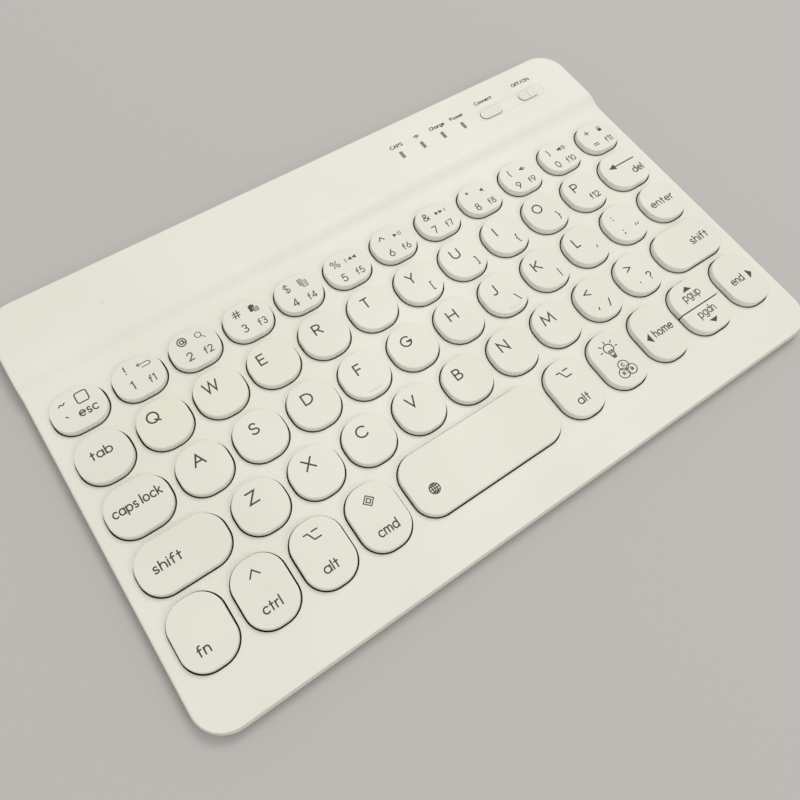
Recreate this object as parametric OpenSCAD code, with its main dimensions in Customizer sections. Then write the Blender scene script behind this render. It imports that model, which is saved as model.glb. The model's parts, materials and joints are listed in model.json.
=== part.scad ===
// Slim wireless keyboard for a tablet: a moulded top cover with a raised rear bar, round-cornered
// keys on scissor lifts, and the sheet stack, battery and control board that the covers enclose.
// X runs along the rows, Y from the front edge to the rear edge, Z up from the table.
// The origin is on the table, under the middle of the body.

/* [Key layout] */
// Distance between the centres of neighbouring letter keys
key_pitch = 19.05; // [18.6:0.05:20]
// Width of the opening for a letter key
unit_w = 17.4; // [16.6:0.05:17.6]
// Depth of the openings in the three letter rows
unit_d = 17.5; // [16.5:0.1:19]
// Depth of the openings in the number row
number_d = 15; // [14:0.1:17.5]
// Depth of the openings in the front row
front_d = 22.35; // [21:0.05:25]
// Bar between two rows of openings
row_bar = 1.75; // [1.5:0.05:3]
// Bar to the right of the leftmost key of each row
left_bar = 2.05; // [1.6:0.05:2.6]
// Bar between the openings of the number row
number_bar = 1.9; // [1.5:0.05:2.4]
// Bar between the openings of the front row
front_bar = 1.8; // [1.5:0.05:2.4]
// Width of the opening for the esc key
esc_w = 18.05; // [16:0.05:20]
// Width of the opening for the tab key
tab_w = 17.6; // [16:0.05:20]
// Width of the opening for the caps lock key
caps_w = 20.7; // [19:0.05:24]
// Width of the opening for the left shift key
shift_w = 28.65; // [26:0.05:32]
// Width of the opening for the fn key
fn_w = 17.55; // [16:0.05:20]
// Width of the opening for the enter key
enter_w = 17.6; // [16:0.05:20]
// Width of the opening that the two page keys share
page_w = 19.75; // [18:0.05:22]
// Width of the opening for the end key
end_w = 17.5; // [16:0.05:20]
// Corner radius of an opening, seen from above
opening_r = 7.8; // [4:0.1:8]
// Largest corner radius as a share of an opening's shorter side
opening_r_share = 0.45; // [0.3:0.01:0.46]

/* [Keycaps] */
// Gap between a key and its opening, on each side
key_gap = 0.45; // [0.2:0.01:0.5]
// Gap between the two page keys
page_gap = 0.55; // [0.3:0.05:0.8]
// Height of the key tops over the deck
key_stand = 2.2; // [1.8:0.1:3]
// How far a key goes down
key_travel = 1.6; // [1:0.1:1.8]
// Depth of a key's skirt below the deck's upper face
key_sink = 0.85; // [0.5:0.05:1]
// Thickness of a keycap's top
key_top_t = 1.1; // [0.8:0.05:1.4]
// Thickness of a keycap's skirt
key_wall = 0.9; // [0.7:0.05:1.2]
// Radius of the rounded edge round a key's top
key_edge_r = 0.35; // [0.2:0.05:0.6]
// How much a key narrows towards its top, on each side
key_draft = 0.12; // [0.05:0.01:0.2]
// Length of the raised bar that marks the F and J keys
home_bar_l = 4.2; // [3:0.1:6]
// Width of that bar
home_bar_w = 0.4; // [0.3:0.05:0.8]
// Height of that bar
home_bar_h = 0.2; // [0.1:0.05:0.4]
// Distance of that bar from the middle of its key
home_bar_in = 6.4; // [5:0.1:6.6]

/* [Top cover] */
// Height of the deck over the table
deck_z = 5.6; // [5.3:0.1:7]
// Thickness of the deck and of the rear bar's top
deck_t = 1.2; // [1:0.1:1.5]
// Height of the rear bar's top over the deck
bar_rise = 2.2; // [1.6:0.1:2.6]
// Depth of the curved step up to the rear bar
ramp_d = 10; // [8:0.1:12]
// Distance from the number row to the step
ramp_gap = 3.7; // [3.2:0.1:9]
// Depth of the rear bar's flat top
bar_d = 25.7; // [25.6:0.1:40]
// Width of the cover beside the keys
side_margin = 4.6; // [4:0.1:10]
// Depth of the cover in front of the keys
front_margin = 15.7; // [14:0.1:24]
// Depth of the sloping strip along the front edge
slope_d = 9.8; // [6:0.1:11]
// How far the sloping strip falls
slope_drop = 0.45; // [0.2:0.05:0.6]
// Corner radius of the body, seen from above
body_r = 10.6; // [8:0.1:14]
// Radius of the rounded upper edge
cover_edge_r = 0.8; // [0.5:0.05:1]
// How much the side walls lean in towards the top
cover_draft = 0.5; // [0.3:0.05:0.8]
// Thickness of the side walls at the seam
wall = 1.6; // [1.4:0.05:2.2]

/* [Bottom cover and feet] */
// How far the feet stand out of the bottom cover
foot_stand = 0.7; // [0.5:0.1:1]
// Thickness of the bottom cover's floor
floor_t = 1; // [0.8:0.05:1.3]
// Height of the seam between the covers over the floor's underside
seam_h = 1.3; // [1.2:0.05:1.6]
// How far the bottom cover lies back from the top cover's edge
shadow_gap = 0.35; // [0.2:0.05:0.6]
// Radius of the bottom cover's lower edge
bottom_edge_r = 0.7; // [0.4:0.05:0.9]
// Thickness of the rim that plugs into the top cover
rim_t = 0.9; // [0.7:0.05:1.2]
// Height of the rim over the seam
rim_h = 1.1; // [0.9:0.05:1.3]
// Clearance between the rim and the top cover
rim_gap = 0.1; // [0.05:0.01:0.2]
// Length of a catch on the rim
catch_l = 8; // [5:0.5:14]
// How far a catch stands out of the rim
catch_out = 0.35; // [0.25:0.05:0.5]
// Length of a foot
foot_l = 18; // [12:0.5:30]
// Width of a foot
foot_w = 6; // [4:0.5:9]
// Depth of a foot's pocket in the bottom cover
foot_pocket = 0.3; // [0.2:0.05:0.5]
// Distance from a foot's middle to the body's side
foot_in_x = 18; // [16:0.5:60]
// Distance from a foot's middle to the front or rear edge
foot_in_y = 10; // [8:0.5:30]

/* [Sheet stack] */
// Thickness of the light guide
guide_t = 0.3; // [0.2:0.05:0.4]
// Thickness of the steel support plate
plate_t = 0.4; // [0.3:0.05:0.5]
// Thickness of the contact membrane
sheet_t = 0.3; // [0.2:0.05:0.4]
// How far the sheets reach past the keys in front and behind
sheet_reach = 4; // [3:0.1:4.5]
// Radius of a stake that holds the plate under the deck
stake_r = 0.8; // [0.6:0.05:0.9]
// Clearance round a stake
stake_gap = 0.2; // [0.1:0.05:0.3]

/* [Scissor lifts and domes] */
// Half length of the outer frame's arms
lift_reach = 4.7; // [4.3:0.1:5.2]
// Half width of the outer frame
lift_half_w = 5.4; // [5:0.1:6]
// Half width of the outer frame under a page key
small_half_w = 3.8; // [3.7:0.05:4]
// Width of a frame's bars
lift_bar = 0.8; // [0.7:0.05:0.9]
// Thickness of a frame
lift_t = 0.6; // [0.5:0.05:0.7]
// Clearance between the two frames
lift_gap = 0.2; // [0.15:0.05:0.25]
// Clearance above and below a lift
seat_gap = 0.05; // [0.03:0.01:0.1]
// Radius of a lift's pivot pin
pin_r = 0.2; // [0.15:0.01:0.22]
// Clearance round a pivot pin
pin_gap = 0.04; // [0.02:0.01:0.05]
// Base radius of a rubber dome
dome_r = 1.9; // [1.6:0.05:2]
// Radius of a dome's head
dome_head_r = 1.1; // [0.9:0.05:1.2]
// Wall of a dome
dome_wall = 0.35; // [0.25:0.05:0.4]

/* [Controls on the rear bar] */
// Distance from the rear edge to the line of windows and controls
controls_in = 15.6; // [14.6:0.1:16]
// Distance from the body's right side to the first status window
window_in = 84.3; // [82:0.1:86]
// Distance between status windows
window_pitch = 9.6; // [8:0.1:10]
// Width of a status window
window_w = 1.4; // [1:0.1:2]
// Depth of a status window
window_d = 3.3; // [2.5:0.1:4]
// Distance from the body's right side to the middle of the controls' recess
recess_in = 32; // [31:0.1:33]
// Length of the recess
recess_l = 33.2; // [32:0.1:34]
// Width of the recess
recess_w = 6.4; // [6.2:0.1:7]
// Depth of the recess
recess_t = 0.3; // [0.2:0.05:0.4]
// How far the recess's side slopes in
recess_slope = 0.8; // [0.3:0.05:0.8]
// Length of the connect button
button_l = 9.7; // [8:0.1:11]
// Width of the button and of the switch slider
control_w = 4.3; // [3.8:0.1:4.6]
// Distance between the recess's end and the button
button_in = 2; // [1.2:0.1:3]
// Height of the button over the recess's floor
button_stand = 0.4; // [0.3:0.05:0.5]
// How far the connect button goes in
button_travel = 0.35; // [0.2:0.05:0.4]
// Length of the switch slider
slider_l = 9.1; // [8:0.1:10]
// How far the switch slider moves
slider_travel = 2; // [1.5:0.1:2.5]
// Height of the slider over the recess's floor
slider_stand = 0.6; // [0.4:0.05:0.9]
// Clearance round the button and the slider
control_gap = 0.15; // [0.1:0.01:0.25]

/* [Battery and control board] */
// Distance from the body's left side to the battery's outer end
battery_in = 12; // [10:0.5:16]
// Length of the battery
battery_l = 94; // [60:1:100]
// Width of the battery
battery_w = 20; // [16:0.5:21]
// Thickness of the battery
battery_t = 3.2; // [2:0.1:3.4]
// Length of the protection strip at the battery's inner end
strip_l = 4; // [3:0.5:6]
// Distance from the body's right side to the control board
board_in = 7; // [6:0.5:9]
// Length of the control board
board_l = 89; // [87:0.5:100]
// Width of the control board
board_w = 19.6; // [19:0.1:20]
// Thickness of the control board
board_t = 0.8; // [0.6:0.05:1]
// Height of the board's supports over the floor
board_lift = 1.2; // [1.1:0.05:1.4]
// Distance from the board's inner end to the connector of the membrane's tail
tail_in = 9; // [8:0.5:10]
// Width of the membrane's tail
tail_w = 12; // [8:0.5:14]
// Distance between that connector and the main chip
chip_gap = 3; // [1:0.5:4]
// Distance from the body's right side to the charging socket
usb_in = 32; // [24:0.1:40]
// Width of the charging socket's shell
usb_w = 8.94; // [8.94:0.01:8.94]
// Height of the charging socket's shell
usb_h = 3.16; // [3.16:0.01:3.16]
// Length of the charging socket
usb_l = 7.3; // [6.5:0.1:8]

/* [Hidden] */
$fn = 48;
TINY = 0.01;
// Flat steps in a quarter of a rounded edge
EDGE_STEPS = 3;
// Lengths in which the rounded side edge climbs the step up to the rear bar
CLIMB_STEPS = 8;

// Heights of the stack, from the table up
floor_z0 = foot_stand;
floor_z = floor_z0 + floor_t;
seam_z = floor_z0 + seam_h;
plate_z = floor_z + guide_t;
sheet_z = plate_z + plate_t;
lift_z = sheet_z + sheet_t;
deck_under = deck_z - deck_t;
bar_z = deck_z + bar_rise;
bar_under = bar_z - deck_t;
key_z = deck_z + key_stand;
key_under = key_z - key_top_t;
skirt_z = deck_z - key_sink;
recess_z = bar_z - recess_t;
board_z = floor_z + board_lift;
board_top = board_z + board_t;
usb_z = (board_z + board_top) / 2 + 0.85;

// Places along Y, from the front edge back
front_y = front_margin;
shift_y = front_y + front_d + row_bar;
caps_y = shift_y + unit_d + row_bar;
tab_y = caps_y + unit_d + row_bar;
number_y = tab_y + unit_d + row_bar;
keys_y = number_y + number_d;
ramp_y = keys_y + ramp_gap;
bar_y = ramp_y + ramp_d;
body_d = bar_y + bar_d;
controls_y = body_d - controls_in;

// Places along X, from the left edge of the keys
letter_bar = key_pitch - unit_w;
block_w = caps_w + left_bar + 10 * key_pitch + enter_w;
body_w = block_w + 2 * side_margin;
number_w = (block_w - esc_w - left_bar - 10 * number_bar) / 11;
front_w = key_pitch - front_bar;
space_w = block_w - fn_w - left_bar - 6 * key_pitch - front_bar - page_w - front_bar - end_w;

function repeated(value, n) = [for (i = [1 : n]) value];
function total(v, n, i = 0) = i < n ? v[i] + total(v, n, i + 1) : 0;
function place(widths, bar, i) = total(widths, i) + (i > 0 ? left_bar + (i - 1) * bar : 0);
// One row of openings, each [name, left, front, width, depth]; the last reaches the row's end
function row(names, widths, bar, y, d) = [
    for (i = [0 : len(names) - 1])
        let (x = place(widths, bar, i))
            [names[i], x, y, i < len(widths) ? widths[i] : block_w - x, d]
];

NUMBER_NAMES = ["esc", "1", "2", "3", "4", "5", "6", "7", "8", "9", "0", "equals"];
TAB_NAMES = [
    "key_tab", "key_q", "key_w", "key_e", "key_r", "key_t", "key_y", "key_u", "key_i", "key_o",
    "key_p", "key_delete"
];
CAPS_NAMES = [
    "key_caps_lock", "key_a", "key_s", "key_d", "key_f", "key_g", "key_h", "key_j", "key_k",
    "key_l", "key_semicolon", "key_enter"
];
SHIFT_NAMES = [
    "key_shift_left", "key_z", "key_x", "key_c", "key_v", "key_b", "key_n", "key_m", "key_comma",
    "key_period", "key_shift_right"
];
FRONT_NAMES = [
    "key_fn", "key_ctrl", "key_alt_left", "key_meta", "key_space", "key_alt_right", "key_light",
    "key_home", "page", "key_end"
];
FRONT_WIDTHS = concat(
    [fn_w], repeated(front_w, 3), [space_w], repeated(front_w, 3), [page_w]
);

NUMBER_CELLS = row(NUMBER_NAMES, concat([esc_w], repeated(number_w, 10)), number_bar,
    number_y, number_d);
TAB_CELLS = row(TAB_NAMES, concat([tab_w], repeated(unit_w, 10)), letter_bar, tab_y, unit_d);
CAPS_CELLS = row(CAPS_NAMES, concat([caps_w], repeated(unit_w, 10)), letter_bar, caps_y, unit_d);
SHIFT_CELLS = row(SHIFT_NAMES, concat([shift_w], repeated(unit_w, 9)), letter_bar, shift_y, unit_d);
FRONT_CELLS = row(FRONT_NAMES, FRONT_WIDTHS, front_bar, front_y, front_d);
CELLS = concat(NUMBER_CELLS, TAB_CELLS, CAPS_CELLS, SHIFT_CELLS, FRONT_CELLS);

// The openings that hold one key each, and the one that two page keys share
SINGLE_CELLS = [for (c = CELLS) if (c[0] != "page") c];
LONE_CELLS = [for (c = concat(TAB_CELLS, CAPS_CELLS, SHIFT_CELLS, FRONT_CELLS)) if (c[0] != "page") c];
PAGE_CELL = [for (c = FRONT_CELLS) if (c[0] == "page") c][0];

function centre_x(c) = c[1] + c[3] / 2;
function centre_y(c) = c[2] + c[4] / 2;
function corner_r(c) = min(opening_r, opening_r_share * min(c[3], c[4]));

// Depth of one page key, half of what the shared opening leaves
page_d = (PAGE_CELL[4] - 2 * key_gap - page_gap) / 2;
// Distance of a page key's middle from the middle of the opening
page_off = (page_d + page_gap) / 2;

// Where a key's lifts stand along X from its middle: one in most keys, two in the space key
function lift_offsets(c) = c[0] == "key_space" ? [-c[3] * 0.3, c[3] * 0.3] : [0];

// Lifts as [x, y, small], with a small one under each page key
LIFTS = concat(
    [for (c = SINGLE_CELLS, x = lift_offsets(c)) [centre_x(c) + x, centre_y(c), false]],
    [for (s = [-1, 1]) [centre_x(PAGE_CELL), centre_y(PAGE_CELL) + s * page_off, true]]
);
// Domes as [x, y]: one under each key
DOMES = concat(
    [for (c = SINGLE_CELLS) [centre_x(c), centre_y(c)]],
    [for (s = [-1, 1]) [centre_x(PAGE_CELL), centre_y(PAGE_CELL) + s * page_off]]
);

// The lift's inner frame is shorter, to fold inside the outer one
inner_reach = lift_reach - lift_bar - lift_gap;
lift_h = key_under - lift_z - 2 * seat_gap;
// Slope of a frame of half length reach whose corners just reach the lift's height
function lift_angle(reach) =
    asin(lift_h / 2 / norm([reach, lift_t / 2])) - atan(lift_t / 2 / reach);
outer_angle = lift_angle(lift_reach);
inner_angle = lift_angle(inner_reach);
// How far a frame of half length reach spreads from the pivot, along its arms
function spread(reach, angle) = reach * cos(angle) + lift_t / 2 * sin(angle);

hook_t = 0.3;
hook_w = 2;
hook_gap = 0.12;
hook_lip = 0.55;
lug_h = 0.6;
lug_t = 0.6;
hook_top = lift_z + seat_gap + lift_t + lift_bar * sin(inner_angle) + hook_gap + hook_t;

// Stakes as [x, y]: in front of the keys, behind them, and where four key corners leave room
stake_y1 = front_y - sheet_reach / 2;
stake_y2 = keys_y + sheet_reach / 2;
STAKES = concat(
    [for (y = [stake_y1, stake_y2], s = [0.08, 0.36, 0.64, 0.92]) [s * block_w, y]],
    [for (i = [3, 6, 9]) [
        (NUMBER_CELLS[i + 1][1] + TAB_CELLS[i + 1][1] - number_bar / 2 - letter_bar / 2) / 2,
        number_y - row_bar / 2
    ]],
    [for (i = [2, 6, 8]) [FRONT_CELLS[i][1] - front_bar / 2, front_y + front_d - stake_r / 2]]
);

// Inside the covers
inner_w = body_w - 2 * wall;
inner_d = body_d - 2 * wall;
inner_r = body_r - wall;
window_x = body_w / 2 - window_in;
recess_x = body_w / 2 - recess_in;
usb_x = body_w / 2 - usb_in;
sheet_w = inner_w - 2 * (rim_gap + rim_t) - 0.3;
sheet_y0 = front_y - sheet_reach;
sheet_y1 = keys_y + sheet_reach;
bay_y0 = bar_y - 2.1;
bay_y1 = body_d - wall;
battery_x0 = (block_w - body_w) / 2 + battery_in;
battery_y0 = bay_y0 + 3;
board_x0 = (block_w + body_w) / 2 - board_in - board_l;
board_y0 = bay_y0 + 2.9;
connect_x = block_w / 2 + recess_x - recess_l / 2 + button_in + button_l / 2;
slider_x = block_w / 2 + recess_x + recess_l / 2 - recess_slope - slider_travel - control_gap
    - slider_l / 2;
flange_out = 0.6;
flange_t = 0.6;
tail_x = board_x0 + tail_in;
usb_face = body_d - 0.35;

// Moves from the keys' left edge and the body's front edge to the part's own frame
module on_body() {
    translate([-block_w / 2, -body_d / 2]) children();
}

module round_rect(w, d, r) {
    square([w - 2 * r, d], center = true);
    square([w, d - 2 * r], center = true);
    for (x = [-1, 1], y = [-1, 1]) translate([x * (w / 2 - r), y * (d / 2 - r)]) circle(r);
}

module stadium(l, w) {
    square([l - w, w], center = true);
    for (s = [-1, 1]) translate([s * (l - w) / 2, 0]) circle(w / 2);
}

// Points of a moulded edge from its foot to its flat top: a lean, then a round in equal steps
function edge_points(r, z0, z1, draft, edge) = concat([[r, z0]], [
    for (i = [0 : EDGE_STEPS])
        let (a = 90 * i / EDGE_STEPS)
            [r - draft - edge + edge * cos(a), z1 - edge + edge * sin(a)]
]);

module edge_section(r, z0, z1, draft, edge) {
    polygon(concat([[0, z0]], edge_points(r, z0, z1, draft, edge), [[0, z1]]));
}

// A round-cornered block with that edge all round: corners revolved, sides extruded
module edged_block(w, d, r, z0, z1, draft, edge) {
    right = edge_points(w / 2, z0, z1, draft, edge);
    rotate([90, 0, 0]) linear_extrude(d - 2 * r, center = true)
        polygon(concat(right, [for (i = [len(right) - 1 : -1 : 0]) [-right[i][0], right[i][1]]]));
    for (turn = [90, -90]) rotate(turn) translate([d / 2 - r, 0]) rotate([90, 0, 0])
        linear_extrude(w - 2 * r, center = true) edge_section(r, z0, z1, draft, edge);
    for (i = [0 : 3]) translate([(i == 0 || i == 3 ? 1 : -1) * (w / 2 - r), (i < 2 ? 1 : -1) * (d / 2 - r)])
        rotate(90 * i) rotate_extrude(angle = 90) edge_section(r, z0, z1, draft, edge);
}

// Two lugs under a keycap that hold the lift's upper bars from outside
module lift_lugs() {
    for (s = [[1, spread(lift_reach, outer_angle)], [-1, spread(inner_reach, inner_angle)]])
        mirror([0, s[0] > 0 ? 0 : 1, 0])
            translate([-hook_w / 2, s[1] + hook_gap, key_under - lug_h])
                cube([hook_w, lug_t, lug_h + TINY]);
}

// A hollow keycap for one opening, at the opening's place
module keycap(c) {
    w = c[3] - 2 * key_gap;
    d = c[4] - 2 * key_gap;
    r = corner_r(c) - key_gap;
    translate([centre_x(c), centre_y(c)]) {
        difference() {
            edged_block(w, d, r, skirt_z, key_z, key_draft, key_edge_r);
            translate([0, 0, skirt_z - 1]) linear_extrude(key_under - skirt_z + 1)
                round_rect(w - 2 * key_wall, d - 2 * key_wall, r - key_wall);
        }
    }
    if (c[0] == "key_f" || c[0] == "key_j")
        translate([centre_x(c) - home_bar_l / 2, centre_y(c) - home_bar_in - home_bar_w / 2, key_z - TINY])
            cube([home_bar_l, home_bar_w, home_bar_h + TINY]);
    for (x = lift_offsets(c)) translate([centre_x(c) + x, centre_y(c)]) lift_lugs();
}

// The front (side = -1) or rear (side = 1) half of the shared page opening's keycap
module page_keycap(side) {
    c = PAGE_CELL;
    w = c[3] - 2 * key_gap;
    d = c[4] - 2 * key_gap;
    r = corner_r(c) - key_gap;
    near = page_gap / 2;
    translate([centre_x(c), centre_y(c)]) mirror([0, side > 0 ? 0 : 1, 0]) {
        difference() {
            intersection() {
                edged_block(w, d, r, skirt_z, key_z, key_draft, key_edge_r);
                translate([-w, near, 0]) cube([2 * w, d, key_z + 1]);
            }
            translate([0, 0, skirt_z - 1]) linear_extrude(key_under - skirt_z + 1) intersection() {
                round_rect(w - 2 * key_wall, d - 2 * key_wall, r - key_wall);
                translate([-w, near + key_wall]) square([2 * w, d]);
            }
        }
        translate([0, page_off]) rotate(90) lift_lugs();
    }
}

module number_row_keys() {
    color("#e2dfd2") on_body() for (c = NUMBER_CELLS) keycap(c);
}

module lone_key(name) {
    color("#e2dfd2") on_body() for (c = LONE_CELLS) if (c[0] == name) keycap(c);
}

module key_page_up() {
    color("#e2dfd2") on_body() page_keycap(1);
}

module key_page_down() {
    color("#e2dfd2") on_body() page_keycap(-1);
}

// Radius of the two arcs that make the step up to the rear bar, and the height they reach
rise_r = (ramp_d * ramp_d + bar_rise * bar_rise) / (4 * bar_rise);
function arc_rise(t) = rise_r - sqrt(rise_r * rise_r - t * t);
function climb_z(t) = deck_z + (t < ramp_d / 2 ? arc_rise(t) : bar_rise - arc_rise(ramp_d - t));

// Side view of the raised bar with its step: two arcs that meet halfway up
module bar_side() {
    difference() {
        translate([ramp_y, floor_z0]) square([body_d - ramp_y, bar_z - floor_z0]);
        difference() {
            translate([ramp_y - 1, deck_z]) square([ramp_d / 2 + 1, bar_rise / 2]);
            translate([ramp_y, deck_z - TINY]) difference() {
                square([ramp_d / 2 + 1, bar_rise]);
                translate([0, rise_r + TINY]) circle(rise_r, $fn = 180);
            }
        }
        difference() {
            translate([ramp_y - 1, deck_z + bar_rise / 2]) square([ramp_d + 1, bar_rise]);
            translate([bar_y, bar_z - rise_r]) circle(rise_r, $fn = 180);
            translate([bar_y, deck_z]) square([1, bar_rise]);
        }
    }
}

// Outer form of the top cover, before it is hollowed
module cover_form() {
    translate([0, body_d / 2]) difference() {
        edged_block(body_w, body_d, body_r, seam_z, deck_z, cover_draft, cover_edge_r);
        // The strip along the front edge slopes down
        rotate([90, 0, 90]) linear_extrude(body_w + 2, center = true) polygon([
            [slope_d - body_d / 2, deck_z], [-1 - body_d / 2, deck_z - slope_drop * (1 + 1 / slope_d)],
            [-1 - body_d / 2, deck_z + 1], [slope_d - body_d / 2, deck_z + 1]
        ]);
    }
    intersection() {
        union() {
            intersection() {
                translate([0, body_d / 2])
                    edged_block(body_w, body_d, body_r, seam_z, bar_z, cover_draft, cover_edge_r);
                translate([-body_w, bar_y - TINY]) cube([2 * body_w, body_d, bar_z + 1]);
            }
            climbing_sides();
        }
        rotate([90, 0, 90]) linear_extrude(body_w + 2, center = true) bar_side();
    }
}

// The body's cross section along the step, its rounded side edges higher with each length
module climbing_sides() {
    climb = ramp_d / CLIMB_STEPS;
    for (i = [1 : CLIMB_STEPS]) {
        right = edge_points(body_w / 2, seam_z, climb_z(i * climb), cover_draft, cover_edge_r);
        translate([0, ramp_y + i * climb]) rotate([90, 0, 0]) linear_extrude(climb + TINY)
            polygon(concat(right, [for (k = [len(right) - 1 : -1 : 0]) [-right[k][0], right[k][1]]]));
    }
}

// The hollow under the deck and the deeper one under the rear bar
module cover_hollow() {
    translate([0, body_d / 2, 0]) linear_extrude(deck_under) round_rect(inner_w, inner_d, inner_r);
    translate([0, 0, seam_z - 1]) linear_extrude(bar_under - seam_z + 1) intersection() {
        translate([0, body_d / 2]) round_rect(inner_w, inner_d, inner_r);
        translate([-body_w / 2, bay_y0]) square([body_w, body_d]);
    }
}

// The recess round the controls: a long hole with sloping sides and round ends
module recess_form() {
    half = recess_w / 2;
    side = [[half - recess_slope, recess_z], [half, bar_z], [half, bar_z + 1]];
    translate([recess_x, controls_y]) {
        rotate([90, 0, 90]) linear_extrude(recess_l - recess_w, center = true)
            polygon(concat(side, [for (k = [2 : -1 : 0]) [-side[k][0], side[k][1]]]));
        for (s = [-1, 1]) translate([s * (recess_l - recess_w) / 2, 0]) rotate(-s * 90)
            rotate_extrude(angle = 180) polygon(concat([[0, recess_z]], side, [[0, bar_z + 1]]));
    }
}

// Catches along the rim, or the grooves for them with extra = their clearance
module catches(extra) {
    half_w = inner_w / 2 - rim_gap;
    half_d = inner_d / 2 - rim_gap;
    size = [catch_l + 2 * extra, 2 * catch_out + 2 * extra, 0.4 + 2 * extra];
    translate([0, body_d / 2, seam_z + 0.65]) {
        for (x = [-0.3, -0.1, 0.1, 0.3], s = [-1, 1])
            translate([x * body_w, s * half_d, 0]) cube(size, center = true);
        for (y = [-0.25, 0.25], s = [-1, 1])
            translate([s * half_w, y * body_d, 0]) rotate(90) cube(size, center = true);
    }
}

module top_cover() {
    color("#e8e5d9") translate([0, -body_d / 2]) {
        difference() {
            cover_form();
            cover_hollow();
            catches(0.1);
            translate([-block_w / 2, 0, deck_under - 1]) linear_extrude(deck_t + 2) for (c = CELLS)
                translate([centre_x(c), centre_y(c)]) round_rect(c[3], c[4], corner_r(c));
            // Status windows, recess, button opening and slider slot
            for (i = [0 : 3]) translate([window_x + i * window_pitch, controls_y, bar_under - 1])
                linear_extrude(deck_t + 2) square([window_w, window_d], center = true);
            recess_form();
            translate([connect_x - block_w / 2, controls_y, bar_under - 1]) linear_extrude(deck_t + 2)
                stadium(button_l + 2 * control_gap, control_w + 2 * control_gap);
            translate([slider_x - block_w / 2 + slider_travel / 2, controls_y, bar_under - 1])
                linear_extrude(deck_t + 2)
                    square([3 + slider_travel + 2 * control_gap, 1.8 + 2 * control_gap], center = true);
            translate([usb_x, body_d + 1, usb_z]) rotate([90, 0, 0])
                linear_extrude(wall + 2) stadium(usb_w + 0.4, usb_h + 0.4);
        }
        translate([-block_w / 2, 0]) for (s = STAKES) translate([s[0], s[1], plate_z + 0.05])
            cylinder(deck_under - plate_z - 0.05 + TINY, stake_r, stake_r);
    }
}

module foot_places() {
    for (x = [-1, 1], y = [-1, 1])
        translate([x * (body_w / 2 - foot_in_x), y * (body_d / 2 - foot_in_y)]) children();
}

board_post_x = [3, board_l - 3];
board_post_y = [3, board_w - 3];

module bottom_cover() {
    color("#b9b8b2") {
        difference() {
            union() {
                // The tray's outside is the edged block turned over
                mirror([0, 0, 1]) edged_block(body_w - 2 * shadow_gap, body_d - 2 * shadow_gap,
                    body_r - shadow_gap, -seam_z, -floor_z0, 0.1, bottom_edge_r);
                translate([0, 0, seam_z - TINY]) linear_extrude(rim_h + TINY)
                    round_rect(inner_w - 2 * rim_gap, inner_d - 2 * rim_gap, inner_r - rim_gap);
                translate([0, -body_d / 2]) catches(0);
            }
            translate([0, 0, floor_z]) linear_extrude(5) round_rect(inner_w - 2 * (rim_gap + rim_t),
                inner_d - 2 * (rim_gap + rim_t), inner_r - rim_gap - rim_t);
            foot_places() translate([0, 0, floor_z0 - 1]) linear_extrude(1 + foot_pocket)
                stadium(foot_l + 0.2, foot_w + 0.2);
            // The rim stops at the charging socket
            translate([usb_x - usb_w / 2 - 0.5, body_d / 2 - wall - rim_gap - rim_t - 1, seam_z])
                cube([usb_w + 1, rim_t + 2, 5]);
        }
        translate([-block_w / 2, -body_d / 2, floor_z - TINY]) {
            for (x = board_post_x, y = board_post_y) translate([board_x0 + x, board_y0 + y]) {
                cylinder(board_lift + TINY, 1.8, 1.8);
                cylinder(board_lift + board_t, 0.8, 0.8);
            }
            battery_fence();
        }
    }
}

// Low walls that hold the battery in its place
module battery_fence() {
    fence_gap = 0.3;
    fence_t = 0.8;
    fence_h = 1.5;
    fence_l = 8;
    end_l = 4;
    end_in = 3;
    x0 = battery_x0 - fence_gap;
    x1 = battery_x0 + battery_l + strip_l + fence_gap;
    for (x = [x0 - fence_t, x1], y = [end_in, battery_w - end_in - end_l])
        translate([x, battery_y0 + y, 0]) cube([fence_t, end_l, fence_h]);
    for (s = [0.15, 0.5, 0.85], y = [battery_y0 - fence_gap - fence_t, battery_y0 + battery_w + fence_gap])
        translate([battery_x0 + s * battery_l - fence_l / 2, y, 0]) cube([fence_l, fence_t, fence_h]);
}

module rubber_feet() {
    color("#4a4a48") foot_places() linear_extrude(foot_stand + foot_pocket) stadium(foot_l, foot_w);
}

// The frame of a lift: a flat ring with a window, across the pivot along X
module lift_ring(half_w, reach) {
    translate([0, 0, -lift_t / 2]) linear_extrude(lift_t) difference() {
        square([2 * half_w, 2 * reach], center = true);
        square([2 * (half_w - lift_bar), 2 * (reach - lift_bar)], center = true);
    }
}

module lift(half_w) {
    inner_half_w = half_w - lift_bar - lift_gap;
    translate([0, 0, (lift_z + key_under) / 2]) {
        rotate([outer_angle, 0, 0]) difference() {
            lift_ring(half_w, lift_reach);
            rotate([0, 90, 0]) cylinder(2 * half_w + 1, pin_r + pin_gap, pin_r + pin_gap, center = true);
        }
        rotate([-inner_angle, 0, 0]) union() {
            lift_ring(inner_half_w, inner_reach);
            for (s = [-1, 1]) translate([s * (inner_half_w + half_w - lift_bar / 2) / 2, 0, 0])
                rotate([0, 90, 0]) cylinder(half_w - inner_half_w + lift_bar / 2, pin_r, pin_r, center = true);
        }
    }
}

module scissor_lifts() {
    color("#f4f4f0") on_body() for (l = LIFTS) translate([l[0], l[1]])
        rotate(l[2] ? 90 : 0) lift(l[2] ? small_half_w : lift_half_w);
}

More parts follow.
